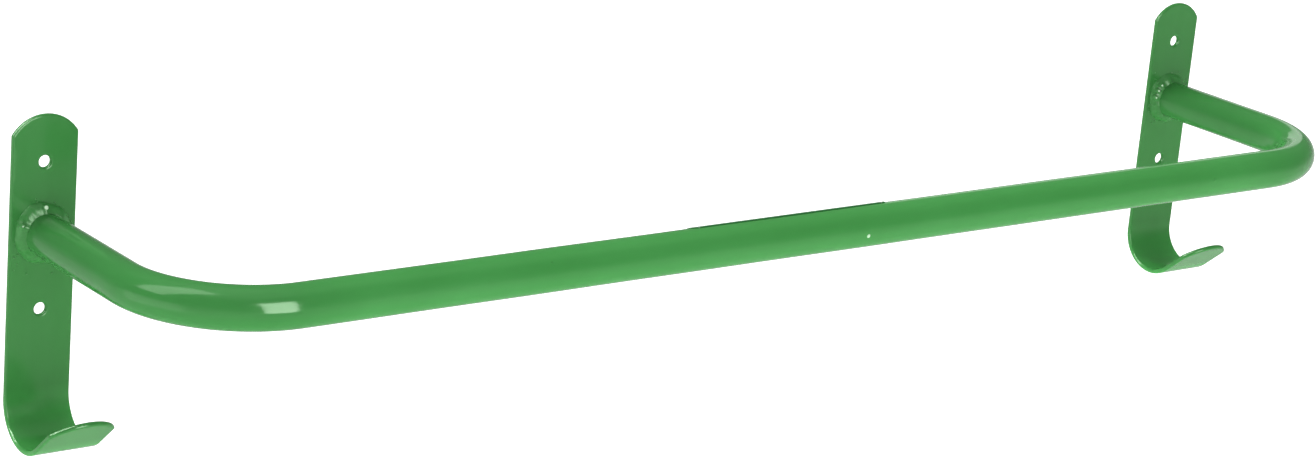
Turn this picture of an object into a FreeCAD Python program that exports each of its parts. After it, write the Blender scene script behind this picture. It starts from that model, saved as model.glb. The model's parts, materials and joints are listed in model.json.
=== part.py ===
"""Wall rail for horse blankets: a bent steel tube welded to two flat-bar brackets that end in hooks.

Frame: +X along the wall, +Y into the wall, +Z up, millimetres.  The origin is the centre of the
four screw holes, on the wall.  The brackets' backs lie on the plane Y = 0 and the rail stands out
towards -Y.
"""

import FreeCAD, Part
import os
import Sketcher
from FreeCAD import Placement, Rotation, Vector

SIZES = [
    # brackets: one flat bar each, rounded at both ends and curled into a hook at the bottom
    ("bar_width", 40, "width of the flat bar"),
    ("bar_thickness", 3, "thickness of the flat bar"),
    ("bar_edge_radius", 0.5, "rounding of the bar's long edges"),
    ("end_rise", 11, "how far a rounded end stands past its two corners"),
    ("top_margin", 27, "upper screw hole to the top of the bracket"),
    ("hole_spacing", 85, "upper screw hole to lower screw hole"),
    ("hole_diameter", 7, "screw holes"),
    ("straight_length", 162.2, "top of the bracket to where the hook's curl begins"),
    ("hook_inner_radius", 22, "inside of the curl"),
    ("hook_wrap_angle", 131, "how far the bar is curled round, from straight down"),
    ("lip_length", 32, "end of the curl to the tip of the hook"),
    # rail: one tube, bent twice
    ("tube_diameter", 25, "outside diameter of the tube"),
    ("tube_wall", 1.5, "wall of the tube"),
    ("rail_span", 870, "one bracket's centre line to the other's"),
    ("stand_off", 164, "wall to the centre line of the rail"),
    ("bend_radius", 68, "bends of the rail, on its centre line"),
    ("rail_height", 1.5, "centre line of the rail above the middle of the screw holes"),
    # weld beads round the ends of the tube
    ("weld_leg", 5, "reach of the weld along the tube and along the bar"),
    # label on top of the rail
    ("label_length", 145, "length of the label along the rail"),
    ("label_angle", 62, "how far the label wraps round the tube"),
    ("label_thickness", 0.4, "thickness of the label"),
    ("label_shift", -34, "middle of the label from the middle of the rail"),
    ("label_turn", 33, "middle of the label, turned from the top of the tube towards the wall"),
]

doc = FreeCAD.newDocument("blanket_rail")


def make_sheet():
    """The driving sizes as a spreadsheet: name, value and meaning, with the name as the alias."""
    sheet = doc.addObject("Spreadsheet::Sheet", "sizes")
    for row, (alias, value, meaning) in enumerate(SIZES, start=1):
        sheet.set(f"A{row}", alias)
        sheet.set(f"B{row}", str(value))
        sheet.set(f"C{row}", meaning)
        sheet.setAlias(f"B{row}", alias)
    doc.recompute()
    return sheet


def new_body(label):
    """A PartDesign body for one sub-part, named as its node."""
    body = doc.addObject("PartDesign::Body", label)
    body.Label = label
    return body


def new_sketch(body, name, plane, offset=None):
    """A sketch on one of the body's own origin planes, with an optional offset in that plane's axes."""
    sketch = body.newObject("Sketcher::SketchObject", name)
    support = next(f for f in body.Origin.OriginFeatures if f.Role == plane)
    sketch.AttachmentSupport = (support, [""])
    sketch.MapMode = "FlatFace"
    if offset is not None:
        sketch.AttachmentOffset = offset
    return sketch


def size(sketch, name, expression, *constraint):
    """Adds one dimension to a sketch and binds it to the sheet."""
    index = sketch.addConstraint(Sketcher.Constraint(*constraint))
    sketch.renameConstraint(index, name)
    sketch.setExpression("Constraints." + name, expression)


def line(sketch, start, end):
    return sketch.addGeometry(Part.LineSegment(Vector(*start, 0), Vector(*end, 0)), False)


def arc(sketch, start, middle, end):
    """An arc through three points; Sketcher keeps it running anticlockwise."""
    return sketch.addGeometry(Part.Arc(Vector(*start, 0), Vector(*middle, 0), Vector(*end, 0)), False)


def join(sketch, *ends):
    """Coincident joints: each is (curve, end, other curve, other end)."""
    for first in ends:
        sketch.addConstraint(Sketcher.Constraint("Coincident", *first))


START, END, CENTRE = 1, 2, 3
ORIGIN = (-1, 1)
Y_AXIS = -2


# Expressions shared by the parts.  The bar's outer surface is the back that lies on the wall.
HOOK_OUTER_RADIUS = "(sizes.hook_inner_radius + sizes.bar_thickness)"
TOP_OF_BRACKET = "(sizes.hole_spacing / 2 + sizes.top_margin)"
CURL_HEIGHT = f"({TOP_OF_BRACKET} - sizes.straight_length)"
LIP_TIP_OUT = (
    f"({HOOK_OUTER_RADIUS} - {HOOK_OUTER_RADIUS} * cos(sizes.hook_wrap_angle * 1 deg)"
    " + sizes.lip_length * sin(sizes.hook_wrap_angle * 1 deg))"
)
LIP_TIP_HEIGHT = (
    f"({CURL_HEIGHT} - {HOOK_OUTER_RADIUS} * sin(sizes.hook_wrap_angle * 1 deg)"
    " - sizes.lip_length * cos(sizes.hook_wrap_angle * 1 deg))"
)


def bar_side_profile(body):
    """The bent bar seen from its side: straight against the wall, a curl, and a straight lip."""
    sketch = new_sketch(body, "side_profile", "YZ_Plane")
    top = line(sketch, (-3, 70), (0, 70))
    back = line(sketch, (0, 70), (0, -92))
    outer = arc(sketch, (-41, -111), (-25, -117), (0, -92))
    lip_back = line(sketch, (-41, -111), (-64, -91))
    tip = line(sketch, (-64, -91), (-62, -89))
    lip_front = line(sketch, (-62, -89), (-39, -109))
    inner = arc(sketch, (-39, -109), (-25, -114), (-3, -92))
    front = line(sketch, (-3, -92), (-3, 70))
    join(
        sketch,
        (top, END, back, START),
        (lip_back, END, tip, START),
        (tip, END, lip_front, START),
        (front, END, top, START),
        (outer, CENTRE, inner, CENTRE),
    )
    for first, first_end, second, second_end in (
        (back, END, outer, END),
        (outer, START, lip_back, START),
        (lip_front, END, inner, START),
        (inner, END, front, START),
    ):
        sketch.addConstraint(Sketcher.Constraint("Tangent", first, first_end, second, second_end))
    sketch.addConstraint(Sketcher.Constraint("Vertical", back))
    sketch.addConstraint(Sketcher.Constraint("Vertical", front))
    sketch.addConstraint(Sketcher.Constraint("Horizontal", top))
    sketch.addConstraint(Sketcher.Constraint("Perpendicular", lip_back, tip))
    sketch.addConstraint(Sketcher.Constraint("Parallel", lip_back, lip_front))
    sketch.addConstraint(Sketcher.Constraint("PointOnObject", back, START, Y_AXIS))
    size(sketch, "thickness", "sizes.bar_thickness", "DistanceX", top, START, top, END, 3)
    size(sketch, "straight", "sizes.straight_length", "DistanceY", back, END, back, START, 162.2)
    size(sketch, "top_height", TOP_OF_BRACKET, "DistanceY", *ORIGIN, back, START, 70)
    size(sketch, "curl", "sizes.hook_inner_radius", "Radius", inner, 22)
    size(sketch, "lip", "sizes.lip_length", "Distance", lip_back, 32)
    # the lip leans out from straight up by what the curl lacks of a half turn
    size(
        sketch,
        "lean",
        "(180 - sizes.hook_wrap_angle) * 1 deg",
        "Angle",
        back,
        END,
        lip_back,
        START,
        0.855,
    )
    return sketch


def end_cutter(body, name, offset):
    """What is cut off a square end to leave a shallow arc, whose top is the sketch's own origin.

    It is a block with half a round hole in its lower side; the block reaches past the bar's sides.
    """
    radius = "(sizes.bar_width ^ 2 / 4 + sizes.end_rise ^ 2) / (2 * sizes.end_rise)"
    sketch = new_sketch(body, name, "XZ_Plane", offset)
    left_foot = line(sketch, (-24, -24), (-35, -24))
    left = line(sketch, (-35, -24), (-35, 11))
    over = line(sketch, (-35, 11), (35, 11))
    right = line(sketch, (35, 11), (35, -24))
    right_foot = line(sketch, (35, -24), (24, -24))
    crown = arc(sketch, (24, -24), (0, 0), (-24, -24))
    join(
        sketch,
        (left_foot, END, left, START),
        (left, END, over, START),
        (over, END, right, START),
        (right, END, right_foot, START),
        (right_foot, END, crown, START),
        (crown, END, left_foot, START),
    )
    for edge in (left_foot, right_foot):
        sketch.addConstraint(Sketcher.Constraint("Horizontal", edge))
    for edge in (left, right):
        sketch.addConstraint(Sketcher.Constraint("Vertical", edge))
    for end in (START, END):
        sketch.addConstraint(Sketcher.Constraint("Horizontal", crown, end, crown, CENTRE))
    sketch.addConstraint(Sketcher.Constraint("PointOnObject", crown, CENTRE, Y_AXIS))
    sketch.addConstraint(Sketcher.Constraint("Symmetric", left, END, right, START, Y_AXIS))
    size(sketch, "crown_radius", radius, "Radius", crown, 24)
    size(sketch, "crown_depth", radius, "DistanceY", crown, CENTRE, *ORIGIN, 24)
    width = f"2 * {radius} + sizes.bar_width / 2"
    size(sketch, "block_width", width, "DistanceX", over, START, over, END, 70)
    size(sketch, "block_top", "sizes.end_rise", "DistanceY", *ORIGIN, over, START, 11)
    return sketch


def cut(body, name, sketch, depth):
    """A pocket that reaches the same distance to both sides of its sketch."""
    before = body.Tip.Shape.Volume
    pocket = body.newObject("PartDesign::Pocket", name)
    pocket.Profile = sketch
    pocket.SideType = "Symmetric"
    pocket.Type = "Length"
    pocket.setExpression("Length", depth)
    doc.recompute()
    if not pocket.Shape.Volume < before:
        raise RuntimeError(f"{body.Label}: {name} cuts nothing")
    return pocket


def round_long_edges(body):
    """Rounds the bar's four long edges, from end to end; the edges across it stay square."""
    bar = body.Tip
    names = []
    for number, edge in enumerate(bar.Shape.Edges, start=1):
        straight = isinstance(edge.Curve, Part.Line)
        across_width = straight and edge.BoundBox.XLength > 0.99 * doc.sizes.bar_width
        across_thickness = straight and edge.Length < 1.01 * doc.sizes.bar_thickness
        if not across_width and not across_thickness:
            names.append(f"Edge{number}")
    fillet = body.newObject("PartDesign::Fillet", "edge_rounding")
    fillet.Base = (bar, names)
    fillet.setExpression("Radius", "min(sizes.bar_edge_radius; sizes.bar_thickness / 3)")
    doc.recompute()
    if not fillet.Shape.Volume < bar.Shape.Volume:
        raise RuntimeError(f"{body.Label}: the edges are not rounded")


def make_bracket(label, side):
    """One bracket.  side is -1 for the left one and 1 for the right one; the two are alike."""
    body = new_body(label)
    profile = bar_side_profile(body)
    bar = body.newObject("PartDesign::Pad", "bent_bar")
    bar.Profile = profile
    bar.SideType = "Symmetric"
    bar.setExpression("Length", "sizes.bar_width")
    doc.recompute()
    round_long_edges(body)

    top = end_cutter(body, "top_end", Placement())
    top.setExpression("AttachmentOffset.Base.y", TOP_OF_BRACKET)
    cut(body, "rounded_top", top, "4 * sizes.bar_thickness")

    tip = end_cutter(body, "tip_end", Placement(Vector(), Rotation(Vector(1, 0, 0), 49)))
    tip.setExpression("AttachmentOffset.Rotation.Angle", "(180 - sizes.hook_wrap_angle) * 1 deg")
    tip.setExpression("AttachmentOffset.Base.y", LIP_TIP_HEIGHT)
    tip.setExpression("AttachmentOffset.Base.z", LIP_TIP_OUT)
    cut(body, "rounded_tip", tip, "4 * sizes.bar_thickness")

    centres = new_sketch(body, "screw_holes", "XZ_Plane")
    centres.setExpression("AttachmentOffset.Base.z", "sizes.bar_thickness")
    for sign, name in ((1, "upper"), (-1, "lower")):
        circle = centres.addGeometry(Part.Circle(Vector(0, sign * 42, 0), Vector(0, 0, 1), 3.5), False)
        centres.addConstraint(Sketcher.Constraint("PointOnObject", circle, CENTRE, Y_AXIS))
        ends = (*ORIGIN, circle, CENTRE) if sign > 0 else (circle, CENTRE, *ORIGIN)
        size(centres, name, "sizes.hole_spacing / 2", "DistanceY", *ends, 42)
        size(centres, name + "_bore", "sizes.hole_diameter", "Diameter", circle, 7)
    doc.recompute()
    before = body.Tip.Shape.Volume
    holes = body.newObject("PartDesign::Hole", "drilled_holes")
    holes.Profile = centres
    holes.setExpression("Diameter", "sizes.hole_diameter")
    holes.DepthType = "ThroughAll"
    doc.recompute()
    if not holes.Shape.Volume < before:
        raise RuntimeError(f"{label}: the screw holes cut nothing")
    body.setExpression("Placement.Base.x", f"{side} * sizes.rail_span / 2")
    return body


def make_rail():
    """The rail: a round tube from one bracket's front out, along the wall and back to the other."""
    body = new_body("rail_tube")
    path = new_sketch(body, "centre_line", "XY_Plane")
    path.setExpression("AttachmentOffset.Base.z", "sizes.rail_height")
    left_arm = line(path, (-435, -3), (-435, -96))
    left_bend = arc(path, (-435, -96), (-415, -144), (-367, -164))
    front = line(path, (-367, -164), (367, -164))
    right_bend = arc(path, (367, -164), (415, -144), (435, -96))
    right_arm = line(path, (435, -96), (435, -3))
    for first, first_end, second, second_end in (
        (left_arm, END, left_bend, START),
        (left_bend, END, front, START),
        (front, END, right_bend, START),
        (right_bend, END, right_arm, START),
    ):
        path.addConstraint(Sketcher.Constraint("Tangent", first, first_end, second, second_end))
    path.addConstraint(Sketcher.Constraint("Vertical", left_arm))
    path.addConstraint(Sketcher.Constraint("Horizontal", front))
    path.addConstraint(Sketcher.Constraint("Vertical", right_arm))
    path.addConstraint(Sketcher.Constraint("Symmetric", left_arm, START, right_arm, END, Y_AXIS))
    size(path, "span", "sizes.rail_span", "DistanceX", left_arm, START, right_arm, END, 870)
    size(path, "reach", "sizes.stand_off", "DistanceY", front, START, *ORIGIN, 164)
    size(path, "ends", "sizes.bar_thickness", "DistanceY", left_arm, START, *ORIGIN, 3)
    size(path, "left_radius", "sizes.bend_radius", "Radius", left_bend, 68)
    size(path, "right_radius", "sizes.bend_radius", "Radius", right_bend, 68)

    section = new_sketch(body, "tube_section", "XZ_Plane")
    section.setExpression("AttachmentOffset.Base.z", "sizes.bar_thickness")
    outside = section.addGeometry(Part.Circle(Vector(-435, 0, 0), Vector(0, 0, 1), 12.5), False)
    inside = section.addGeometry(Part.Circle(Vector(-435, 0, 0), Vector(0, 0, 1), 11), False)
    section.addConstraint(Sketcher.Constraint("Coincident", outside, CENTRE, inside, CENTRE))
    size(section, "outside", "sizes.tube_diameter", "Diameter", outside, 25)
    size(section, "inside", "sizes.tube_diameter - 2 * sizes.tube_wall", "Diameter", inside, 22)
    size(section, "arm", "sizes.rail_span / 2", "DistanceX", outside, CENTRE, *ORIGIN, 435)
    size(section, "height", "sizes.rail_height", "DistanceY", *ORIGIN, outside, CENTRE, 1.5)
    doc.recompute()

    tube = body.newObject("PartDesign::AdditivePipe", "bent_tube")
    tube.Profile = section
    tube.Spine = path
    doc.recompute()
    return body


def make_weld(label, side):
    """The fillet weld where the tube meets the bracket: a ring with a slightly crowned face."""
    body = new_body(label)
    sketch = new_sketch(body, "bead_section", "XY_Plane")
    sketch.setExpression("AttachmentOffset.Base.z", "sizes.rail_height")
    on_bar = line(sketch, (12.5, -3), (16.1, -3))
    face = arc(sketch, (12.5, -6.6), (14.9, -5.3), (16.1, -3))
    on_tube = line(sketch, (12.5, -6.6), (12.5, -3))
    join(
        sketch,
        (on_bar, END, face, END),
        (face, START, on_tube, START),
        (on_tube, END, on_bar, START),
    )
    sketch.addConstraint(Sketcher.Constraint("Horizontal", on_bar))
    sketch.addConstraint(Sketcher.Constraint("Vertical", on_tube))
    size(sketch, "tube", "sizes.tube_diameter / 2", "DistanceX", *ORIGIN, on_bar, START, 12.5)
    size(sketch, "bar_face", "sizes.bar_thickness", "DistanceY", on_bar, START, *ORIGIN, 3)
    size(sketch, "leg", "sizes.weld_leg", "DistanceX", on_bar, START, on_bar, END, 5)
    size(sketch, "reach", "sizes.weld_leg", "DistanceY", on_tube, START, on_tube, END, 5)
    # a crown of radius 1.2 legs bulges well past the flat between the two toes
    size(sketch, "crown", "1.2 * sizes.weld_leg", "Radius", face, 6)
    doc.recompute()
    bead = body.newObject("PartDesign::Revolution", "bead")
    bead.Profile = sketch
    bead.ReferenceAxis = (sketch, ["V_Axis"])
    bead.Angle = 360
    body.setExpression("Placement.Base.x", f"{side} * sizes.rail_span / 2")
    doc.recompute()
    return body


def make_label():
    """A thin label bent round the top of the rail, on the side turned to the wall."""
    body = new_body("rail_label")
    sketch = new_sketch(body, "label_section", "XZ_Plane")
    under = line(sketch, (-72, 12.5), (72, 12.5))
    right = line(sketch, (72, 12.5), (72, 12.9))
    over = line(sketch, (72, 12.9), (-72, 12.9))
    left = line(sketch, (-72, 12.9), (-72, 12.5))
    join(
        sketch,
        (under, END, right, START),
        (right, END, over, START),
        (over, END, left, START),
        (left, END, under, START),
    )
    for edge in (left, right):
        sketch.addConstraint(Sketcher.Constraint("Vertical", edge))
    sketch.addConstraint(Sketcher.Constraint("Horizontal", over))
    sketch.addConstraint(Sketcher.Constraint("Symmetric", under, START, under, END, Y_AXIS))
    size(sketch, "length", "sizes.label_length", "DistanceX", under, START, under, END, 145)
    size(sketch, "tube", "sizes.tube_diameter / 2", "DistanceY", *ORIGIN, under, START, 12.5)
    size(sketch, "film", "sizes.label_thickness", "DistanceY", right, START, right, END, 0.4)
    doc.recompute()
    film = body.newObject("PartDesign::Revolution", "film")
    film.Profile = sketch
    film.ReferenceAxis = (sketch, ["H_Axis"])
    film.Midplane = True
    film.setExpression("Angle", "sizes.label_angle")
    body.Placement = Placement(Vector(), Rotation(Vector(1, 0, 0), -33))
    body.setExpression("Placement.Rotation.Angle", "-sizes.label_turn * 1 deg")
    body.setExpression("Placement.Base.x", "sizes.label_shift")
    body.setExpression("Placement.Base.y", "-sizes.stand_off")
    body.setExpression("Placement.Base.z", "sizes.rail_height")
    doc.recompute()
    return body


def check(bodies):
    """Stops if any object failed, a sketch is loose, or a sub-part is not one valid solid."""
    for item in doc.Objects:
        if {"Invalid", "Error"} & set(item.State):
            raise RuntimeError(f"{item.Label} failed: {item.State}")
        if item.isDerivedFrom("Sketcher::SketchObject"):
            if item.solve() != 0 or not item.FullyConstrained:
                raise RuntimeError(f"{item.Label} is loose or does not solve")
    for body in bodies:
        shape = body.Shape
        if shape.isNull() or not shape.isValid() or len(shape.Solids) != 1:
            raise RuntimeError(f"{body.Label} is not one valid solid")


def main():
    make_sheet()
    bodies = [
        make_bracket("left_bracket", -1),
        make_bracket("right_bracket", 1),
        make_rail(),
        make_weld("left_weld_bead", -1),
        make_weld("right_weld_bead", 1),
        make_label(),
    ]
    doc.recompute()
    check(bodies)
    os.makedirs("parts", exist_ok=True)
    for body in bodies:
        body.Shape.exportStep(os.path.join("parts", body.Label + ".step"))
        box = body.Shape.BoundBox
        print(
            f"{body.Label}: volume {body.Shape.Volume:.0f} mm3,"
            f" X {box.XMin:.1f} to {box.XMax:.1f},"
            f" Y {box.YMin:.1f} to {box.YMax:.1f}, Z {box.ZMin:.1f} to {box.ZMax:.1f}"
        )


main()
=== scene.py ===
"""Looks for a wall rail for horse blankets: an enamelled tube, bar brackets, welds and a label.

Everything is in metres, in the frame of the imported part: +X along the wall, +Y into the wall,
+Z up, with the origin at the centre of the four screw holes.
"""

import json
import math

import bpy
import numpy as np
from bpy.props import FloatProperty, FloatVectorProperty, IntProperty, PointerProperty
from mathutils import Matrix, Vector


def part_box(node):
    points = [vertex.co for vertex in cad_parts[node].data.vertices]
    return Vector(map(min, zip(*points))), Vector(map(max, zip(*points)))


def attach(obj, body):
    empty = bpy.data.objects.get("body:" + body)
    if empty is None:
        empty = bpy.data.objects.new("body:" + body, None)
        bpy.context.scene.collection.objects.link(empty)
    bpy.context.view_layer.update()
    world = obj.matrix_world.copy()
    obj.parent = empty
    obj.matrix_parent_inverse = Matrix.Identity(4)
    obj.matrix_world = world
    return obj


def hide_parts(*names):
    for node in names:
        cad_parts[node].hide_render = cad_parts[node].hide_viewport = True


bl_info = {
    "name": "Blanket rail",
    "version": (1, 0, 0),
    "blender": (4, 5, 0),
    "location": "3D View > Sidebar > Blanket rail",
    "description": "Dresses a welded wall rail in hand-dipped green enamel",
    "category": "Object",
}

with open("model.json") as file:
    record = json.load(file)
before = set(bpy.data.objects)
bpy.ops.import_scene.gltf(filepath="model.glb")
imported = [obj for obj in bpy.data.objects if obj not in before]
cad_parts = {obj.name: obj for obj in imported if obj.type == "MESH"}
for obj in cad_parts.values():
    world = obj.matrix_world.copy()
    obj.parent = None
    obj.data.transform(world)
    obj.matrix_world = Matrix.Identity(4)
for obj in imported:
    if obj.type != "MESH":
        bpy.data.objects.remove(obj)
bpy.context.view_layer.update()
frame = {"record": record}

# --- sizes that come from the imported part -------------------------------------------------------

SCREWS = next(m for m in frame["record"]["mounts"] if m["name"] == "wall_screws")
HOLE_SPACING = SCREWS["dims"]["spacing_y_mm"] / 1000
HOLE_RADIUS = SCREWS["dims"]["hole_r_mm"] / 1000

BAR_LOW, BAR_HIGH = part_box("left_bracket")
BAR_HALF_WIDTH = (BAR_HIGH.x - BAR_LOW.x) / 2
BAR_TOP = BAR_HIGH.z
BAR_BOTTOM = BAR_LOW.z

TUBE_LOW, TUBE_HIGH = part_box("rail_tube")
TUBE_RADIUS = (TUBE_HIGH.z - TUBE_LOW.z) / 2
TUBE_HEIGHT = (TUBE_HIGH.z + TUBE_LOW.z) / 2
ARM_X = TUBE_HIGH.x - TUBE_RADIUS
STAND_OFF = -TUBE_LOW.y - TUBE_RADIUS
BAR_THICKNESS = -TUBE_HIGH.y

LABEL_LOW, LABEL_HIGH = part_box("rail_label")

WELD_LOW, WELD_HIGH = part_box("left_weld_bead")
WELD_LEG = WELD_HIGH.y - WELD_LOW.y

SIDES = {"left": -1, "right": 1}


# --- settings -----------------------------------------------------------------------------------


class BracketSettings(bpy.types.PropertyGroup):
    curl_inner: FloatProperty(
        name="Curl radius",
        description="Inside radius of the hook's curl",
        default=0.022,
        unit="LENGTH",
    )
    curl_angle: FloatProperty(
        name="Curl angle",
        description="How far the bar is curled round, from straight down",
        default=math.radians(131),
        subtype="ANGLE",
    )
    lip: FloatProperty(
        name="Lip",
        description="End of the curl to the tip of the hook",
        default=0.032,
        unit="LENGTH",
    )
    end_rise: FloatProperty(
        name="End rise",
        description="How far a rounded end stands past its two corners",
        default=0.011,
        unit="LENGTH",
    )
    corner_radius: FloatProperty(
        name="Corner radius",
        description="Rounding of the corners between the sides and the rounded ends",
        default=0.0016,
        unit="LENGTH",
    )
    edge_radius: FloatProperty(
        name="Edge radius",
        description="Rounding of the bar's edges under the enamel",
        default=0.0012,
        unit="LENGTH",
    )


class TubeSettings(bpy.types.PropertyGroup):
    bend_radius: FloatProperty(
        name="Bend radius",
        description="Radius of the two bends on the tube's centre line",
        default=0.068,
        unit="LENGTH",
    )
    flattening: FloatProperty(
        name="Flattening",
        description="How much the tube narrows across a bend, on its inside and its outside",
        default=0.02,
        subtype="FACTOR",
    )
    pucker: FloatProperty(
        name="Pucker",
        description="Height of the small wrinkles on the inside of a bend",
        default=0.00012,
        unit="LENGTH",
    )


class WeldSettings(bpy.types.PropertyGroup):
    ripples: IntProperty(
        name="Ripples",
        description="Ripples in the bead all the way round",
        default=30,
    )
    ripple_height: FloatProperty(
        name="Ripple height",
        description="Height of a ripple from trough to crest",
        default=0.00026,
        unit="LENGTH",
    )
    drop_radius: FloatProperty(
        name="Drop radius",
        description="Radius of the drop of enamel at each start of the bead",
        default=0.0018,
        unit="LENGTH",
    )
    spatter: IntProperty(
        name="Spatter",
        description="Beads of spatter round each weld",
        default=16,
    )


class ColourSettings(bpy.types.PropertyGroup):
    enamel: FloatVectorProperty(
        name="Enamel",
        description="Colour of the green enamel",
        default=(0.056, 0.298, 0.064),
        subtype="COLOR",
        size=3,
    )
    # also the colour under the painted light and shade of the bends, arms, curl and lip
    enamel_thin: FloatVectorProperty(
        name="Thin enamel",
        description="Colour where the enamel lies thinner",
        default=(0.064, 0.325, 0.074),
        subtype="COLOR",
        size=3,
    )
    label: FloatVectorProperty(
        name="Label",
        description="Colour of the blank label",
        default=(0.018, 0.150, 0.032),
        subtype="COLOR",
        size=3,
    )
    floor: FloatVectorProperty(
        name="Floor",
        description="Colour of the floor and backdrop",
        default=(0.93, 0.93, 0.93),
        subtype="COLOR",
        size=3,
    )


class StageSettings(bpy.types.PropertyGroup):
    camera_at: FloatVectorProperty(
        name="Camera",
        description="Where the camera stands",
        default=(-1.2865, -1.6323, 0.5799),
        subtype="XYZ",
        unit="LENGTH",
        size=3,
    )
    azimuth: FloatProperty(
        name="Azimuth",
        description="How far round from the front the camera stands",
        default=math.radians(-38.16),
        subtype="ANGLE",
    )
    elevation: FloatProperty(
        name="Elevation",
        description="How far the camera looks down",
        default=math.radians(16.79),
        subtype="ANGLE",
    )
    roll: FloatProperty(
        name="Roll",
        description="How far the camera leans to its own left",
        default=math.radians(5.08),
        subtype="ANGLE",
    )
    focal_length: FloatProperty(
        name="Focal length",
        description="Focal length on a 36 mm sensor, in millimetres",
        default=94.26,
    )
    floor_drop: FloatProperty(
        name="Floor drop",
        description="Floor below the lowest point of the hooks",
        default=3.0,
        unit="LENGTH",
    )
    room_glow: FloatProperty(
        name="Room glow",
        description="Brightness of the room round the object",
        default=0.9,
    )
    back_light: FloatProperty(
        name="Back light",
        description="Soft light from above and behind",
        default=2.6,
    )
    top_light: FloatProperty(
        name="Top light",
        description="Soft light from above and a little in front",
        default=0.5,
    )
    floor_glow: FloatProperty(
        name="Floor glow",
        description="Light that the floor and backdrop give off",
        default=0.46,
    )


# --- meshes -------------------------------------------------------------------------------------


def quads(rows, columns, wrap=False):
    """Corner numbers of the faces of a grid of points; wrap joins its last column to its first."""
    number = np.arange(rows * columns).reshape(rows, columns)
    if wrap:
        number = np.hstack([number, number[:, :1]])
    return np.stack(
        [number[:-1, :-1], number[:-1, 1:], number[1:, 1:], number[1:, :-1]], axis=-1
    ).reshape(-1, 4)


def patch(points, wrap=False, flip=False):
    """A grid of points of shape (rows, columns, 3) as (points, faces)."""
    rows, columns = points.shape[:2]
    faces = quads(rows, columns, wrap)
    if flip:
        faces = faces[:, ::-1]
    return points.reshape(-1, 3), faces


def joined(patches, tolerance=2e-6):
    """Patches as one surface: points that meet become one point."""
    starts = np.cumsum([0] + [len(points) for points, _ in patches[:-1]])
    points = np.concatenate([points for points, _ in patches])
    faces = np.concatenate([faces + start for (_, faces), start in zip(patches, starts)])
    cells = np.round(points / tolerance).astype(np.int64)
    _, first, number = np.unique(cells, axis=0, return_index=True, return_inverse=True)
    return points[first], number.reshape(-1)[faces]


def mesh_of(name, patches):
    """A smooth-shaded mesh of patches; a face with two corners in one place becomes a triangle."""
    points, faces = joined(patches)
    same = faces == np.roll(faces, -1, axis=1)
    whole = ~same.any(axis=1)
    triangles = []
    for corner in range(4):
        closed = same[:, corner] & (same.sum(axis=1) == 1)
        triangles.append(np.delete(faces[closed], corner, axis=1))
    mesh = bpy.data.meshes.new(name)
    mesh.from_pydata(
        points.tolist(), [], faces[whole].tolist() + np.concatenate(triangles).tolist()
    )
    mesh.polygons.foreach_set("use_smooth", np.ones(len(mesh.polygons), bool))
    mesh.validate()
    return mesh


def new_piece(name, patches, material, node):
    """Makes one finished piece in place of its CAD node."""
    mesh = mesh_of(name, patches)
    mesh.materials.append(material)
    piece = bpy.data.objects.new(name, mesh)
    bpy.context.scene.collection.objects.link(piece)
    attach(piece, "root")
    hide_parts(node)


def noise(size, seed, waves, *coordinates):
    """A smooth, repeatable unevenness: a sum of sines of the coordinates, mostly within +-size."""
    random = np.random.default_rng(seed)
    total = 0
    for _ in range(waves):
        angle = random.uniform(0, 2 * np.pi)
        for coordinate in coordinates:
            angle = angle + coordinate * random.uniform(-1, 1)
        total = total + np.sin(angle)
    return size * total / math.sqrt(waves)


# --- brackets -----------------------------------------------------------------------------------

# the square-cut stretch round a screw hole: half its height, and its rows of points
HOLE_REACH = 0.009
HOLE_ROWS = 13


class BarShape:
    """A flat bar bent to its hook.  A place on it is (across, along, depth): across the bar from
    its middle, down from its top along the back, and in from the back towards the front."""

    def __init__(self, settings):
        self.half = BAR_HALF_WIDTH
        self.thick = BAR_THICKNESS
        self.outer = settings.curl_inner + BAR_THICKNESS
        self.angle = settings.curl_angle
        self.straight = BAR_TOP - BAR_BOTTOM - self.outer
        self.curl = self.outer * self.angle
        self.length = self.straight + self.curl + settings.lip
        self.rise = settings.end_rise
        self.crown = (self.half**2 + self.rise**2) / (2 * self.rise)
        self.corner = settings.corner_radius
        self.edge = settings.edge_radius

    def bent(self, across, along, depth, middle):
        """Straight down the wall, then an arc of the outer radius, then straight on at its angle."""
        turned = np.clip((along - self.straight) / self.outer, 0, self.angle)
        radius = self.outer - depth
        past_curl = np.maximum(along - self.straight - self.curl, 0)
        down = np.minimum(along, self.straight)
        y = -self.outer + radius * np.cos(turned) - past_curl * np.sin(turned)
        z = BAR_TOP - down - radius * np.sin(turned) - past_curl * np.cos(turned)
        return np.stack(np.broadcast_arrays(middle + across, y, z), axis=-1)

    def end_outline(self, per_arc=26, per_corner=7):
        """The right half of a rounded end, from its apex to the straight side.

        Gives across, along and the outward direction as an angle from straight up.  The crown is an
        arc of radius R about a point R below the apex; the corner is a small arc of radius q that
        touches both the crown and the side, so its centre is R - q from the crown's centre.
        """
        inner = self.crown - self.corner
        corner_x = self.half - self.corner
        corner_drop = self.crown - math.sqrt(inner**2 - corner_x**2)
        meet = math.asin(corner_x / inner)
        on_crown = meet * np.linspace(0, 1, per_arc) ** 1.3
        on_corner = np.linspace(meet, np.pi / 2, per_corner)[1:]
        facing = np.concatenate([on_crown, on_corner])
        across = np.concatenate(
            [self.crown * np.sin(on_crown), corner_x + self.corner * np.sin(on_corner)]
        )
        along = np.concatenate(
            [
                self.crown * (1 - np.cos(on_crown)),
                corner_drop - self.corner * np.cos(on_corner),
            ]
        )
        return across, along, facing


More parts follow.
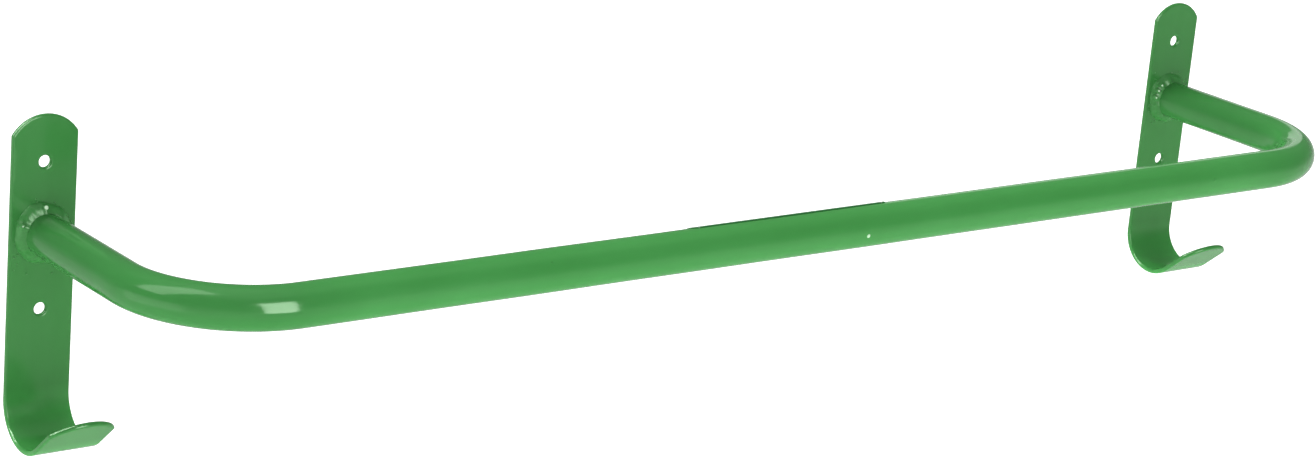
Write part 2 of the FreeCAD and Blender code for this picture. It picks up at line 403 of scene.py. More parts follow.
def rim(edge, thick, steps=5):
    """The bar's edge as (inset, depth): a quarter round, a straight stretch and a quarter round."""
    turn = np.linspace(0, np.pi / 2, steps)
    inset = edge * (1 - np.sin(turn))
    depth = edge * (1 - np.cos(turn))
    return np.concatenate([inset, inset[::-1]]), np.concatenate([depth, thick - depth[::-1]])


def spread(columns=15, guard=0.03):
    """Places across the bar from -1 to 1, with a narrow strip by each side to keep its face flat."""
    inside = np.linspace(-1 + guard, 1 - guard, columns)
    return np.concatenate([[-1, -1 + guard / 3], inside, [1 - guard / 3, 1]])


def faces_between(shape, across, along, middle):
    """Front and back faces between grids of places across and along the bar."""
    back = shape.bent(across, along, 0, middle)
    front = shape.bent(across, along, shape.thick, middle)
    return [patch(back), patch(front, flip=True)]


def around_hole(shape, centre, middle):
    """The bar's two faces from a square-cut stretch inwards to one screw hole, and the hole's wall.

    The outer loop runs along the stretch's four sides at the places that its neighbours use.  Each
    point slides in a straight line to the circle point in the same direction from the centre.
    """
    u = spread() * (shape.half - shape.edge)
    v = np.linspace(-HOLE_REACH, HOLE_REACH, HOLE_ROWS)
    low = np.stack([u, np.full_like(u, -HOLE_REACH)], 1)
    right = np.stack([np.full_like(v, u[-1]), v], 1)
    square = np.concatenate([low[:-1], right[:-1], -low[:-1], -right[:-1]])
    heading = np.arctan2(square[:, 1], square[:, 0])
    mouth = HOLE_RADIUS + shape.edge
    circle = mouth * np.stack([np.cos(heading), np.sin(heading)], 1)
    blend = np.array([0, 0.25, 0.5, 0.75, 0.93, 1])[:, None, None]
    loops = square * (1 - blend) + circle * blend
    across, along = loops[..., 0], centre + loops[..., 1]
    back = shape.bent(across, along, 0, middle)
    front = shape.bent(across, along, shape.thick, middle)
    inset, depth = rim(shape.edge, shape.thick)
    radius = (HOLE_RADIUS + inset)[:, None]
    wall = shape.bent(
        radius * np.cos(heading), centre + radius * np.sin(heading), depth[:, None], middle
    )
    return [
        patch(back, wrap=True),
        patch(front, wrap=True, flip=True),
        patch(wall, wrap=True),
    ]


def bracket_surface(shape, middle):
    """The whole bracket: rows of places from the top to the tip, left open round the two holes.

    The two faces lie inside the outline, drawn in by the edge radius; a rim of quarter rounds is
    carried all along the outline and joins them.
    """
    across, along, facing = shape.end_outline()
    upper = BAR_TOP - HOLE_SPACING / 2
    lower = BAR_TOP + HOLE_SPACING / 2
    stretches = [
        np.linspace(along[-1], upper - HOLE_REACH, 8)[1:],
        np.linspace(upper - HOLE_REACH, upper + HOLE_REACH, HOLE_ROWS)[1:],
        np.linspace(upper + HOLE_REACH, lower - HOLE_REACH, 40)[1:],
        np.linspace(lower - HOLE_REACH, lower + HOLE_REACH, HOLE_ROWS)[1:],
        np.linspace(lower + HOLE_REACH, shape.straight, 24)[1:],
        np.linspace(shape.straight, shape.straight + shape.curl, 72)[1:],
        np.linspace(shape.straight + shape.curl, shape.length - along[-1], 14)[1:-1],
    ]
    side = np.concatenate(stretches)
    outline_x = np.concatenate([across, np.full_like(side, shape.half), across[::-1]])
    outline_s = np.concatenate([along, side, shape.length - along[::-1]])
    turned = np.concatenate([facing, np.full_like(side, np.pi / 2), np.pi - facing[::-1]])

    face_x = outline_x - shape.edge * np.sin(turned)
    face_s = outline_s + shape.edge * np.cos(turned)
    rows = spread() * face_x[:, None]
    levels = np.broadcast_to(face_s[:, None], rows.shape)

    # the rows where the stretch round each hole begins and ends
    first = len(along) + len(stretches[0]) - 1
    second = first + HOLE_ROWS - 1
    third = second + len(stretches[2])
    fourth = third + HOLE_ROWS - 1
    patches = []
    for begin, end in ((0, first), (second, third), (fourth, len(face_s) - 1)):
        part = slice(begin, end + 1)
        patches += faces_between(shape, rows[part], levels[part], middle)
    for centre in (upper, lower):
        patches += around_hole(shape, centre, middle)

    inset, depth = rim(shape.edge, shape.thick)
    edge_x = outline_x[:, None] - inset * np.sin(turned)[:, None]
    edge_s = outline_s[:, None] + inset * np.cos(turned)[:, None]
    patches.append(patch(shape.bent(edge_x, edge_s, depth, middle)))
    patches.append(patch(shape.bent(-edge_x, edge_s, depth, middle), flip=True))
    return patches


# --- tube ---------------------------------------------------------------------------------------


def tube_centre_line(bend, along):
    """The tube's middle at a distance along it: arm, quarter turn, front, quarter turn, arm.

    Gives x and y, the outward direction in the plane of the rail, how far through the nearer bend
    the place is, and the tube's whole length.  The third runs from 0 where the bend leaves the arm
    to 1 where it meets the front, and past both on the straights.
    """
    arm = STAND_OFF - bend - BAR_THICKNESS
    turn = bend * np.pi / 2
    front = 2 * (ARM_X - bend)
    half = arm + turn + front / 2
    near = np.minimum(along, 2 * half - along)
    side = np.where(along < half, -1.0, 1.0)
    turned = np.clip((near - arm) / bend, 0, np.pi / 2)
    y = -BAR_THICKNESS - np.minimum(near, arm) - bend * np.sin(turned)
    x = side * (ARM_X - bend * (1 - np.cos(turned)) - np.maximum(near - arm - turn, 0))
    outward = np.stack([side * np.cos(turned), -np.sin(turned)], -1)
    through = (near - arm) / turn
    return x, y, outward, through, 2 * half


def tube_surface(settings):
    """A round section carried along the centre line, with a flat fan across each end.

    The section's radius drops a little on the inside and outside of a bend, where bending flattens
    it.  Small wrinkles stand across the inside of the bend: sines that die away at both its ends.
    The whole surface wanders very slightly, but not at the ends, where it meets the bars.
    """
    bend = settings.bend_radius
    arm = STAND_OFF - bend - BAR_THICKNESS
    turn = bend * np.pi / 2
    total = tube_centre_line(bend, np.zeros(1))[-1]
    # the arms, bends and front, and the rows of points along each
    marks = [0, arm, arm + turn, total - arm - turn, total - arm, total]
    counts = [20, 150, 120, 150, 20]
    along = np.concatenate(
        [np.linspace(a, b, n, endpoint=False) for a, b, n in zip(marks, marks[1:], counts)]
        + [[total]]
    )
    x, y, outward, through, _ = tube_centre_line(bend, along)
    turned = np.linspace(0, 2 * np.pi, 96, endpoint=False)
    out = np.cos(turned)
    up = np.sin(turned)

    in_bend = np.clip(through, 0, 1)
    bent = np.sin(np.pi * in_bend)[:, None]
    inside = np.clip(-out, 0, 1) ** 2
    wrinkles = 5
    wrinkle = np.sin(2 * np.pi * wrinkles * in_bend)[:, None] * bent**0.5 * inside**2
    radius = TUBE_RADIUS * (1 - settings.flattening * bent * out**2)
    radius = radius + settings.pucker * wrinkle
    wander = noise(0.00005, 3, 6, along[:, None] * 60, 2 * out, 2 * up)
    fade = 0.02
    from_end = np.minimum(along, total - along)[:, None]
    radius = radius + wander * np.minimum(1, from_end / fade)

    points = np.stack(
        [
            x[:, None] + radius * out * outward[:, :1],
            y[:, None] + radius * out * outward[:, 1:],
            TUBE_HEIGHT + radius * up,
        ],
        axis=-1,
    )
    caps = []
    for end, flip in ((0, True), (-1, False)):
        middle = np.broadcast_to(np.array([x[end], y[end], TUBE_HEIGHT]), points[end].shape)
        caps.append(patch(np.stack([middle, points[end]]), wrap=True, flip=flip))
    return [patch(points, wrap=True, flip=True)] + caps


# --- welds --------------------------------------------------------------------------------------

# where a drop of enamel sits on the bead's sloping face, as a share of the weld's leg
DROP_PLACE = 0.74
# how high a drop or a nib of enamel stands, as a share of its radius
DROP_HEIGHT = 0.7


def domes(centres, normals, radii, height, rows=5, columns=10):
    """Beads of metal or enamel: on each centre, a dome on its normal, closed underneath.

    The dome is a half ball of the given radius, squashed to the given share of its height; the
    closing row draws in to one point a little under the surface.
    """
    climb = np.linspace(0, np.pi / 2, rows)
    ring = np.concatenate([[0.0], np.cos(climb)])
    lift = np.concatenate([[-0.3], height * np.sin(climb)])
    turn = np.linspace(0, 2 * np.pi, columns, endpoint=False)
    helper = np.where(np.abs(normals[:, 2:]) > 0.8, [[1.0, 0, 0]], [[0, 0, 1.0]])
    first = np.cross(helper, normals)
    first /= np.linalg.norm(first, axis=1, keepdims=True)
    second = np.cross(normals, first)
    shape = (len(centres), len(ring), columns, 1)
    sideways = first[:, None, None] * np.cos(turn)[None, None, :, None]
    sideways = sideways + second[:, None, None] * np.sin(turn)[None, None, :, None]
    size = radii[:, None, None, None]
    points = (
        centres[:, None, None]
        + np.broadcast_to(size * ring[None, :, None, None], shape) * sideways
        + np.broadcast_to(size * lift[None, :, None, None], shape) * normals[:, None, None]
    )
    return [patch(dome, wrap=True) for dome in points]


def bulge(turn, centre, spread):
    """A bell-shaped rise from 0 to 1 and back, round the turn, at a centre and of a spread.

    It is e to the power of minus the square of the angle from the centre over the spread, both in
    radians.
    """
    away = np.abs((turn - centre + np.pi) % (2 * np.pi) - np.pi)
    return np.exp(-((away / spread) ** 2))


def weld_bead(settings, side, seed, starts):
    """A fillet bead in the corner between the tube and the bar, carried round the tube.

    Its open face runs from a toe on the bar to a toe on the tube on a line bowed outwards.  Ripples
    are unevenly spaced saw-toothed crescents across that face; they stand highest underneath and
    fade out towards the top, where the enamel fills them.  Both toes wander, the bead reaches
    further over the bar at its upper left, and it stands thicker at each start.  Its other sides
    are buried a little in the bar and the tube.
    """
    turn = np.linspace(0, 2 * np.pi, 720, endpoint=False)[:, None]
    across = np.linspace(0, 1, 17)[None, :]
    lump = sum(bulge(turn, start, 0.12) for start in starts)
    heavy = bulge(turn, math.radians(125), 0.6)
    leg_bar = WELD_LEG * (0.96 + noise(0.06, seed, 7, 9 * np.cos(turn), 9 * np.sin(turn)))
    leg_tube = WELD_LEG * (0.96 + noise(0.08, seed + 1, 7, 8 * np.cos(turn), 8 * np.sin(turn)))
    leg_bar = leg_bar * (1 + 0.08 * lump + 0.24 * heavy)
    leg_tube = leg_tube * (1 + 0.12 * lump)

    warp = noise(0.35, seed + 2, 5, 3 * np.cos(turn), 3 * np.sin(turn))
    crescent = 0.55 * (2 * across - 1) ** 2
    phase = (settings.ripples * turn / (2 * np.pi) + warp - crescent) % 1.0
    tooth = np.where(phase < 0.78, phase / 0.78, (1 - phase) / 0.22)
    strong = bulge(turn, math.radians(270), 1.3)
    ripple = strong * settings.ripple_height * (tooth - 0.5) * np.sin(np.pi * across) ** 0.6
    bow = 0.16 * WELD_LEG * np.sin(np.pi * across) * (1 + 0.5 * lump)
    bow = bow + ripple + noise(0.00003, seed + 3, 8, 40 * turn, 8 * across)
    bow = bow + noise(0.00022, seed + 4, 9, 16 * np.cos(turn), 16 * np.sin(turn), 4 * across)

    diagonal = 1 / math.sqrt(2)
    out = TUBE_RADIUS + leg_bar * (1 - across) + bow * diagonal
    forward = leg_tube * across + bow * diagonal
    buried = 0.0006
    corner_out = np.broadcast_to(TUBE_RADIUS - buried, turn.shape)
    out = np.concatenate([corner_out, TUBE_RADIUS + leg_bar, out, corner_out], axis=1)
    forward = np.concatenate(
        [
            np.zeros_like(turn) - buried,
            np.zeros_like(turn) - buried,
            forward,
            leg_tube,
        ],
        axis=1,
    )
    points = np.stack(
        [
            side * ARM_X + out * np.cos(turn),
            -BAR_THICKNESS - forward,
            TUBE_HEIGHT + out * np.sin(turn),
        ],
        axis=-1,
    )
    closed = np.concatenate([points, points[:1]])
    closed = np.concatenate([closed, closed[:, :1]], axis=1)
    return [patch(closed, flip=True)]


def drop_places(side, turns):
    """Where the drops of enamel sit on the bead's face, at angles round the tube."""
    out = TUBE_RADIUS + DROP_PLACE * WELD_LEG
    across = side * ARM_X + out * np.cos(turns)
    forward = np.full(len(turns), -BAR_THICKNESS - DROP_PLACE * WELD_LEG)
    return np.stack([across, forward, TUBE_HEIGHT + out * np.sin(turns)], 1)


def drops(side, turns, radius):
    """Round drops of enamel on the bead's face, one at each angle round the tube."""
    diagonal = 1 / math.sqrt(2)
    normals = diagonal * np.stack([np.cos(turns), -np.ones(len(turns)), np.sin(turns)], 1)
    radii = np.full(len(turns), radius)
    return domes(drop_places(side, turns), normals, radii, DROP_HEIGHT, rows=8, columns=20)


def spatter(settings, side, seed):
    """Small beads thrown from the weld on to the bar's front, thinning out away from the bead.

    Each lies at a random angle round the tube, past the bead by an exponential draw of mean 4.5 mm;
    one that would miss the bar is drawn in to 0.85 of its half width.
    """
    random = np.random.default_rng(seed)
    count = settings.spatter
    turn = random.uniform(0, 2 * np.pi, count)
    from_bead = TUBE_RADIUS + 1.15 * WELD_LEG + random.exponential(0.0045, count)
    across = from_bead * np.cos(turn)
    across = np.clip(across, -0.85 * BAR_HALF_WIDTH, 0.85 * BAR_HALF_WIDTH)
    centres = np.stack(
        [
            side * ARM_X + across,
            np.full(count, -BAR_THICKNESS),
            TUBE_HEIGHT + from_bead * np.sin(turn),
        ],
        1,
    )
    normals = np.tile([0.0, -1.0, 0.0], (count, 1))
    return domes(centres, normals, random.uniform(0.0003, 0.0007, count), 0.6)


# --- label --------------------------------------------------------------------------------------


def label_surface(corner=0.003, columns=60, rows=16):
    """A thin strip bent round the tube, with round corners.

    In its flat pattern the strip is a rounded rectangle: near its two long edges its half length
    shrinks by what a corner of the given radius takes away.  Bending puts its width round the tube.
    The outermost ring of points drops to just under the tube's surface, and a second sheet closes
    the strip from below.
    """
    half_length = (LABEL_HIGH.x - LABEL_LOW.x) / 2
    middle_x = (LABEL_HIGH.x + LABEL_LOW.x) / 2
    front = math.asin((LABEL_LOW.y + STAND_OFF) / TUBE_RADIUS)
    back = math.acos((LABEL_LOW.z - TUBE_HEIGHT) / TUBE_RADIUS)
    outer = (LABEL_HIGH.z - TUBE_HEIGHT) / math.cos(front)
    half_width = (back - front) / 2 * TUBE_RADIUS

    v = np.cos(np.linspace(np.pi, 0, rows))
    v = np.concatenate([[-1], v, [1]])
    u = np.concatenate([[-1], np.linspace(-1, 1, columns), [1]])
    into_corner = np.clip((np.abs(v) * half_width - (half_width - corner)) / corner, 0, 1)
    length = half_length - corner * (1 - np.sqrt(1 - into_corner**2))
    edge = np.zeros((len(v), len(u)), bool)
    edge[[0, -1], :] = True
    edge[:, [0, -1]] = True
    under = TUBE_RADIUS - 0.0001
    turned = (front + back) / 2 + (back - front) / 2 * v[:, None]
    sheets = []
    for radius, flip in ((np.where(edge, under, outer), False), (np.full(edge.shape, under), True)):
        points = np.stack(
            [
                middle_x + length[:, None] * u[None, :],
                -STAND_OFF + radius * np.sin(turned),
                TUBE_HEIGHT + radius * np.cos(turned),
            ],
            axis=-1,
        )
        sheets.append(patch(points, flip=flip))
    return sheets


# --- materials ----------------------------------------------------------------------------------

# colours, each with the fourth number that a node wants
# painted highlight: the pale colour of the glints on the nib and on the drops of enamel
PAINTED_GLINT = (0.72, 1.0, 0.70, 1)
LABEL_LINE = (0.22, 0.30, 0.22, 1)
LABEL_RUBBED = (0.05, 0.19, 0.06, 1)
# from each end of the label in to its line
LABEL_MARGIN = 0.004


def add_node(tree, kind, inputs=None, **settings):
    """A node with its settings and its inputs; an input may be a value or another node's output."""
    made = tree.nodes.new(kind)
    for name, value in settings.items():
        setattr(made, name, value)
    for name, value in (inputs or {}).items():
        if isinstance(value, bpy.types.NodeSocket):
            tree.links.new(value, made.inputs[name])
        else:
            made.inputs[name].default_value = value
    return made


def new_material(name):
    """An empty node material with its Principled shader."""
    material = bpy.data.materials.new(name)
    material.use_nodes = True
    tree = material.node_tree
    return material, tree, tree.nodes["Principled BSDF"]


def ranged(tree, value, low, high, start=0.35, end=0.65):
    """Turns a value between start and end into a quantity between low and high."""
    made = add_node(
        tree,
        "ShaderNodeMapRange",
        {"Value": value, "From Min": start, "From Max": end, "To Min": low, "To Max": high},
        clamp=True,
    )
    return made.outputs["Result"]


def reckoned(tree, operation, *values):
    """The outcome of one piece of arithmetic on values or other nodes' outputs."""
    made = add_node(tree, "ShaderNodeMath", dict(enumerate(values)), operation=operation)
    return made.outputs[0]


def mottled(tree, place, scale, detail=2):
    """A smooth random pattern from 0 to 1.

    scale is about how many patches it has to the metre, and detail adds finer ones inside them.
    """
    inputs = {"Vector": place, "Scale": scale, "Detail": detail}
    return add_node(tree, "ShaderNodeTexNoise", inputs).outputs["Fac"]


def shaded(colour, shade=1.0):
    """A colour made darker or paler, with the fourth number that a node wants."""
    return (*(shade * part for part in colour), 1)


def laid_over(tree, share, below, above):
    """One colour over another, by the share of it that shows; each is a tone or a node's output."""
    inputs = {"Factor": share, "A": below, "B": above}
    return add_node(tree, "ShaderNodeMix", inputs, data_type="RGBA").outputs["Result"]


def raised(tree, height, distance, strength, normal=None):
    """One layer of relief on top of another."""
    inputs = {"Height": height, "Distance": distance, "Strength": strength}
    if normal is not None:
        inputs["Normal"] = normal
    return add_node(tree, "ShaderNodeBump", inputs).outputs["Normal"]


def enamel(name, colours, drawn, roughness, shade, painted_light_zones=(), glints=()):
    """Hand-dipped enamel: slow changes of depth, flow marks, orange peel and a few dust nibs.

    drawn is how far the flow marks are stretched along X, Y and Z: a small number is a long mark.
    shade darkens the whole colour: painted shade, a darker copy of the enamel standing in for less
    light.  Each zone is a stretch painted paler or darker, as painted light and shade: an axis,
    where along it the zone begins, where it is full, and its tone.  The small pale spots with soft
    rims, each a place and a radius, are painted highlights standing in for a lamp's glint.
    """
    material, tree, shader = new_material(name)
    place = add_node(tree, "ShaderNodeTexCoord").outputs["Object"]
    flow_place = add_node(tree, "ShaderNodeMapping", {"Vector": place, "Scale": drawn})

    depth = mottled(tree, place, scale=16, detail=3)
    flow = mottled(tree, flow_place.outputs["Vector"], scale=60, detail=3)
    peel = mottled(tree, place, scale=520)
    wave = mottled(tree, place, scale=95, detail=1)
    dust = add_node(tree, "ShaderNodeTexVoronoi", {"Vector": place, "Scale": 75})

    thin = ranged(tree, reckoned(tree, "ADD", depth, flow), 0, 1, start=0.75, end=1.25)
    # painted shade: shade makes the whole piece a darker copy of the enamel
    colour = laid_over(
        tree, thin, shaded(colours.enamel, shade), shaded(colours.enamel_thin, shade)
    )
    # painted light and shade: each zone lays a paler or a darker copy of the enamel along one axis
    for axis, begins, full, painted_tone in painted_light_zones:
        along = add_node(tree, "ShaderNodeSeparateXYZ", {"Vector": place}).outputs[axis]
        inside = ranged(tree, along, 0, 1, start=begins, end=full)
        colour = laid_over(tree, inside, colour, shaded(colours.enamel_thin, painted_tone))
    # painted highlights: pale spots with soft rims in place of a lamp's glint
    for glint, radius in glints:
        away = add_node(tree, "ShaderNodeVectorMath", {0: place, 1: glint}, operation="DISTANCE")
        glint_share = ranged(tree, away.outputs["Value"], 1, 0, start=0.65 * radius, end=radius)
        colour = laid_over(tree, glint_share, colour, PAINTED_GLINT)
    tree.links.new(colour, shader.inputs["Base Color"])

    rough = ranged(tree, flow, roughness - 0.03, roughness + 0.05)
    tree.links.new(rough, shader.inputs["Roughness"])
    shader.inputs["IOR"].default_value = 1.48
    shader.inputs["Specular Tint"].default_value = (0.8, 1.0, 0.78, 1)

    nib = ranged(tree, dust.outputs["Distance"], 1, 0, start=0.0, end=0.075)
    # each layer of relief: its pattern, how high it stands, and how strongly it shows
    layers = ((wave, 0.0006, 0.1), (flow, 0.0003, 0.06), (peel, 0.00008, 0.35), (nib, 0.0001, 0.25))
    relief = None
    for pattern, height, strength in layers:
        relief = raised(tree, pattern, height, strength, relief)
    tree.links.new(relief, shader.inputs["Normal"])
    return material


def label_film(name, colours):
    """Dark blank film with a satin face, a little rubbed, and a thin paler line near each end.

    A place's distance from the nearer line is how far its distance from the label's middle differs
    from the line's own.
    """
    material, tree, shader = new_material(name)
    place = add_node(tree, "ShaderNodeTexCoord").outputs["Object"]
    grain = mottled(tree, place, scale=900, detail=3)
    rub = mottled(tree, place, scale=40, detail=4)
    middle = (LABEL_HIGH.x + LABEL_LOW.x) / 2
    line_place = (LABEL_HIGH.x - LABEL_LOW.x) / 2 - LABEL_MARGIN
    away = add_node(tree, "ShaderNodeSeparateXYZ", {"Vector": place}).outputs["X"]
    for centre in (middle, line_place):
        away = reckoned(tree, "ABSOLUTE", reckoned(tree, "SUBTRACT", away, centre))
    line = ranged(tree, away, 1, 0, start=0.0004, end=0.0006)
    colour = laid_over(tree, line, shaded(colours.label), LABEL_LINE)
    worn = ranged(tree, rub, 0, 0.25, start=0.5, end=0.8)
    tree.links.new(laid_over(tree, worn, colour, LABEL_RUBBED), shader.inputs["Base Color"])
    tree.links.new(ranged(tree, rub, 0.5, 0.65), shader.inputs["Roughness"])
    tree.links.new(raised(tree, grain, 0.00004, 0.4), shader.inputs["Normal"])
    shader.inputs["Specular IOR Level"].default_value = 0.2
    return material


# --- operators ----------------------------------------------------------------------------------


class OBJECT_OT_rail_brackets(bpy.types.Operator):
    """Makes both flat-bar brackets, curled into hooks at the bottom"""

    bl_idname = "object.rail_brackets"
    bl_label = "Brackets"

    def execute(self, context):
        scene = context.scene
        shape = BarShape(scene.rail_bracket)
        # painted light: paler down in the curl, making up for light that the curl lacks, and back to
        # about the bar's painted shade out on the lip
        curl = ("Z", BAR_BOTTOM + 0.03, BAR_BOTTOM + 0.004, 1.2)
        lip = ("Y", -0.036, -0.048, 0.82)
        material = enamel(
            "green_enamel_on_bar",
            scene.rail_colours,
            drawn=(1.0, 1.0, 0.16),
            roughness=0.16,
            # painted shade: the whole bar is darker than the tube's enamel
            shade=0.78,
            painted_light_zones=(curl, lip),
        )
        for side, sign in SIDES.items():
            surface = bracket_surface(shape, sign * ARM_X)
            new_piece(f"{side}_hook_bar", surface, material, f"{side}_bracket")
        return {"FINISHED"}


class OBJECT_OT_rail_tube(bpy.types.Operator):
    """Makes the bent tube, with its nibs of enamel"""

    bl_idname = "object.rail_tube"
    bl_label = "Tube"

    def execute(self, context):
        scene = context.scene
        surface = tube_surface(scene.rail_tube)
        # nibs of enamel along the front: place across, angle up from straight out, and radius
        across = np.array([0.0155, -0.212, 0.305])
        turned = np.radians([-9.0, 41.0, 12.0])
        radii = np.array([0.0010, 0.0006, 0.0007])
        level = np.zeros_like(across)
        normals = np.stack([level, -np.cos(turned), np.sin(turned)], 1)
        middle = np.stack([across, level - STAND_OFF, level + TUBE_HEIGHT], 1)
        centres = middle + TUBE_RADIUS * normals
        surface += domes(centres, normals, radii, DROP_HEIGHT)
        # painted shade: darker into each bend, and darker still along the arms, standing in for less
        # light there
        bends = [("X", sign * 0.33, sign * 0.385, 0.82) for sign in SIDES.values()]
        arms = ("Y", -0.125, -0.07, 0.7)
        # painted highlight: a pale glint on the first nib
        glint_on_nib = (tuple(centres[0]), 0.0014)
        material = enamel(
            "green_enamel_on_tube",
            scene.rail_colours,
            drawn=(0.12, 0.6, 1.0),
            roughness=0.12,
            shade=1.0,
            painted_light_zones=(*bends, arms),
            glints=(glint_on_nib,),
        )
        new_piece("bent_tube", surface, material, "rail_tube")
        return {"FINISHED"}


class OBJECT_OT_rail_welds(bpy.types.Operator):
    """Makes the weld bead and its spatter at each end of the tube"""

    bl_idname = "object.rail_welds"
    bl_label = "Welds"

    def execute(self, context):
        scene = context.scene
        # starts of each bead, in degrees round the tube, and the radius of the painted highlight, a
        # pale glint, on each drop
        starts_of = {"left": (93, 155), "right": (136, 152, 170)}
        glints_of = {"left": (0.0014, 0.0007), "right": (0.0009, 0.0009, 0.0008)}
        front_of_drop = (0, 0.001, 0)
        glints = []
        for side, sign in SIDES.items():
            places = drop_places(sign, np.radians(starts_of[side])) - front_of_drop
            glints += zip(places.tolist(), glints_of[side])
        material = enamel(
            "green_enamel_on_weld",
            scene.rail_colours,
            drawn=(1.0, 1.0, 1.0),
            roughness=0.3,
            # painted shade: the weld enamel is darker than the tube's, near the bar's
            shade=0.86,
            glints=glints,
        )
        for seed, (side, sign) in enumerate(SIDES.items(), start=1):
            starts = np.radians(starts_of[side])
            surface = weld_bead(scene.rail_weld, sign, 10 * seed, starts)
            surface += drops(sign, starts, scene.rail_weld.drop_radius)
            surface += spatter(scene.rail_weld, sign, 100 * seed)
            new_piece(f"{side}_weld", surface, material, f"{side}_weld_bead")
        return {"FINISHED"}


class OBJECT_OT_rail_label(bpy.types.Operator):
    """Makes the blank label along the top of the tube"""

    bl_idname = "object.rail_label"
    bl_label = "Label"

    def execute(self, context):
        material = label_film("label_film", context.scene.rail_colours)
        new_piece("blank_label", label_surface(), material, "rail_label")
        return {"FINISHED"}


# --- stage --------------------------------------------------------------------------------------


def backdrop_surface(height):
    """A floor at a height, whose far rim rises as a backdrop.

    It is made of rings of points round the middle: level out to 24 m, then each stands higher than
    the one inside it, up to 14 m.
    """
    turn = np.linspace(0, 2 * np.pi, 64, endpoint=False)[None, :]
    radius = np.array([0, 2, 8, 24, 40, 50, 56, 60, 62])[:, None]
    rise = np.array([0, 0, 0, 0, 1, 3.5, 7, 10.5, 14])[:, None]
    points = np.stack(
        np.broadcast_arrays(radius * np.cos(turn), radius * np.sin(turn), height + rise), axis=-1
    )
    return [patch(points, wrap=True, flip=True)]


def soft_light(name, at, towards, size, watts, only=()):
    """A soft rectangular lamp that only shows as a reflection in the enamel.

    size is its width and height.  only names the pieces that it lights; with none named it lights
    them all.
    """
    lamp = bpy.data.lights.new(name, "AREA")
    lamp.shape = "RECTANGLE"
    lamp.size, lamp.size_y = size
    lamp.energy = watts
    holder = bpy.data.objects.new(name, lamp)
    holder.location = at
    holder.rotation_euler = (Vector(towards) - Vector(at)).to_track_quat("-Z", "Y").to_euler()
    holder.visible_camera = False
    holder.visible_diffuse = False
    if only:
        lit = bpy.data.collections.new(name)
        for piece in only:
            lit.objects.link(bpy.data.objects[piece])
        holder.light_linking.receiver_collection = lit
    bpy.context.scene.collection.objects.link(holder)


# grey of the room straight down and straight up
ROOM_ENDS = (0.38, 0.70)
# its grey between straight down, -1, and straight up, 1: lightest low on the walls
ROOM = ((-0.75, 0.50), (-0.50, 0.75), (-0.15, 0.70), (0.0, 0.35), (0.2, 0.15), (0.75, 0.2))


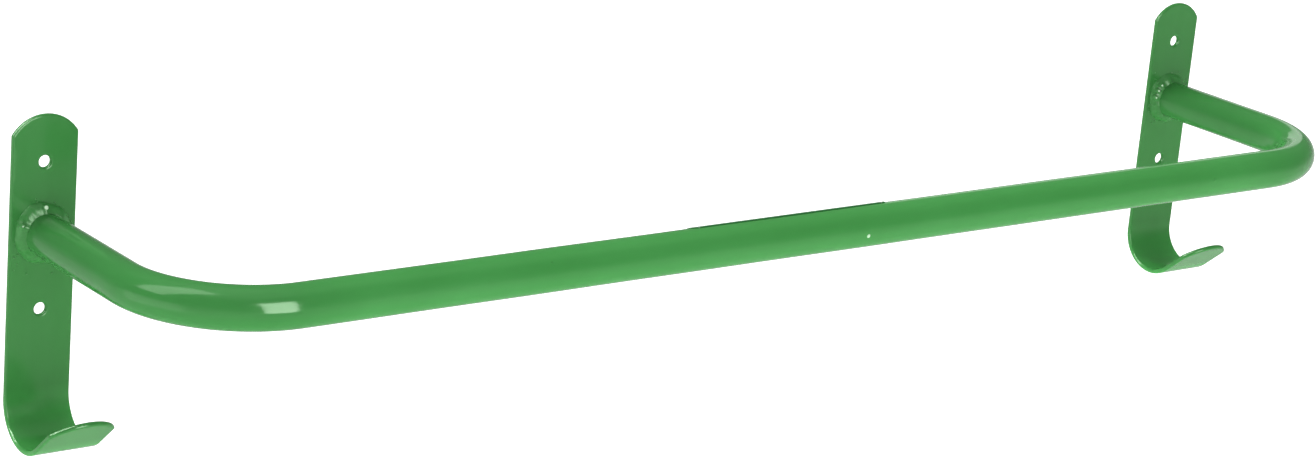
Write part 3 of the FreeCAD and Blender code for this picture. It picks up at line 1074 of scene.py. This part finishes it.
class OBJECT_OT_rail_stage(bpy.types.Operator):
    """Makes the floor, the lights and the camera"""

    bl_idname = "object.rail_stage"
    bl_label = "Stage"

    def execute(self, context):
        scene = context.scene
        stage = scene.rail_stage

        mesh = mesh_of("floor", backdrop_surface(BAR_BOTTOM - stage.floor_drop))
        material, tree, shader = new_material("pale_floor")
        place = add_node(tree, "ShaderNodeTexCoord").outputs["Object"]
        rough = ranged(tree, mottled(tree, place, scale=0.7), 0.7, 0.8)
        tree.links.new(rough, shader.inputs["Roughness"])
        shader.inputs["Base Color"].default_value = shaded(scene.rail_colours.floor)
        shader.inputs["Emission Color"].default_value = (1, 1, 1, 1)
        shader.inputs["Emission Strength"].default_value = stage.floor_glow
        mesh.materials.append(material)
        floor = bpy.data.objects.new("floor", mesh)
        floor.visible_glossy = False
        scene.collection.objects.link(floor)

        world = bpy.data.worlds.new("studio")
        world.use_nodes = True
        sky = world.node_tree
        look = add_node(sky, "ShaderNodeTexCoord").outputs["Generated"]
        up = add_node(sky, "ShaderNodeSeparateXYZ", {"Vector": look}).outputs["Z"]
        place_in_ramp = ranged(sky, up, 0, 1, -1, 1)
        ramp = add_node(sky, "ShaderNodeValToRGB", {"Fac": place_in_ramp})
        for stop, grey in zip(ramp.color_ramp.elements, ROOM_ENDS):
            stop.color = (grey, grey, grey, 1)
        for height_in_room, grey in ROOM:
            stop = ramp.color_ramp.elements.new(height_in_room / 2 + 0.5)
            stop.color = (grey, grey, grey, 1)
        sky.links.new(ramp.outputs["Color"], sky.nodes["Background"].inputs["Color"])
        sky.nodes["Background"].inputs["Strength"].default_value = stage.room_glow
        scene.world = world

        # lean is how far a sun stands from straight overhead, in degrees towards the front
        for name, energy, lean in (("back", stage.back_light, -28), ("top", stage.top_light, 18)):
            sun = bpy.data.lights.new(name, "SUN")
            sun.energy = energy
            sun.angle = math.radians(45)
            holder = bpy.data.objects.new(name, sun)
            holder.rotation_euler.x = math.radians(lean)
            holder.visible_glossy = False
            scene.collection.objects.link(holder)
        # each lamp: where it hangs, what it faces, its width and height, and its watts
        soft_light("softbox", (-0.12, -3.05, 0.78), (-0.39, -0.17, 0), (1.45, 2.7), 122)
        high_left = (-1.85, 0.25, 2.0)
        left_arm = (-0.435, -0.1, 0)
        bars = [f"{side}_hook_bar" for side in SIDES]
        soft_light("strip", high_left, left_arm, (1.1, 2.4), 27)
        soft_light("edge_lamp", high_left, left_arm, (1.5, 2.6), 420, only=bars)
        soft_light("left_card", (-2.88, 0.11, -0.52), (-0.44, -0.1, 0), (2.4, 1.4), 9)
        soft_light("rear", (2.4, 1.98, 0.73), (0.41, -0.15, 0), (1.2, 0.6), 2.1)

        camera = bpy.data.cameras.new("camera")
        camera.sensor_width = 36
        camera.lens = stage.focal_length
        camera.clip_end = 300
        holder = bpy.data.objects.new("camera", camera)
        facing = Matrix.Rotation(stage.azimuth, 4, "Z")
        tilt = Matrix.Rotation(math.pi / 2 - stage.elevation, 4, "X")
        roll = Matrix.Rotation(stage.roll, 4, "Z")
        holder.matrix_world = Matrix.Translation(stage.camera_at) @ facing @ tilt @ roll
        scene.collection.objects.link(holder)
        scene.camera = holder
        scene.view_settings.view_transform = "Standard"
        return {"FINISHED"}


class VIEW3D_PT_blanket_rail(bpy.types.Panel):
    """The rail's settings and the operators that make it"""

    bl_label = "Blanket rail"
    bl_space_type = "VIEW_3D"
    bl_region_type = "UI"
    bl_category = "Blanket rail"

    def draw(self, context):
        for group in SETTINGS:
            box = self.layout.box()
            for name in SETTINGS[group].__annotations__:
                box.prop(getattr(context.scene, group), name)
        for operator in OPERATORS:
            self.layout.operator(operator.bl_idname)


SETTINGS = {
    "rail_bracket": BracketSettings,
    "rail_tube": TubeSettings,
    "rail_weld": WeldSettings,
    "rail_colours": ColourSettings,
    "rail_stage": StageSettings,
}
OPERATORS = (
    OBJECT_OT_rail_brackets,
    OBJECT_OT_rail_tube,
    OBJECT_OT_rail_welds,
    OBJECT_OT_rail_label,
    OBJECT_OT_rail_stage,
)
CLASSES = (*SETTINGS.values(), *OPERATORS, VIEW3D_PT_blanket_rail)


def register():
    for made in CLASSES:
        bpy.utils.register_class(made)
    for name, group in SETTINGS.items():
        setattr(bpy.types.Scene, name, PointerProperty(type=group))


def unregister():
    for name in SETTINGS:
        delattr(bpy.types.Scene, name)
    for made in reversed(CLASSES):
        bpy.utils.unregister_class(made)


def main():
    register()
    bpy.ops.object.rail_brackets()
    bpy.ops.object.rail_tube()
    bpy.ops.object.rail_welds()
    bpy.ops.object.rail_label()
    bpy.ops.object.rail_stage()


if __name__ == "__main__":
    main()
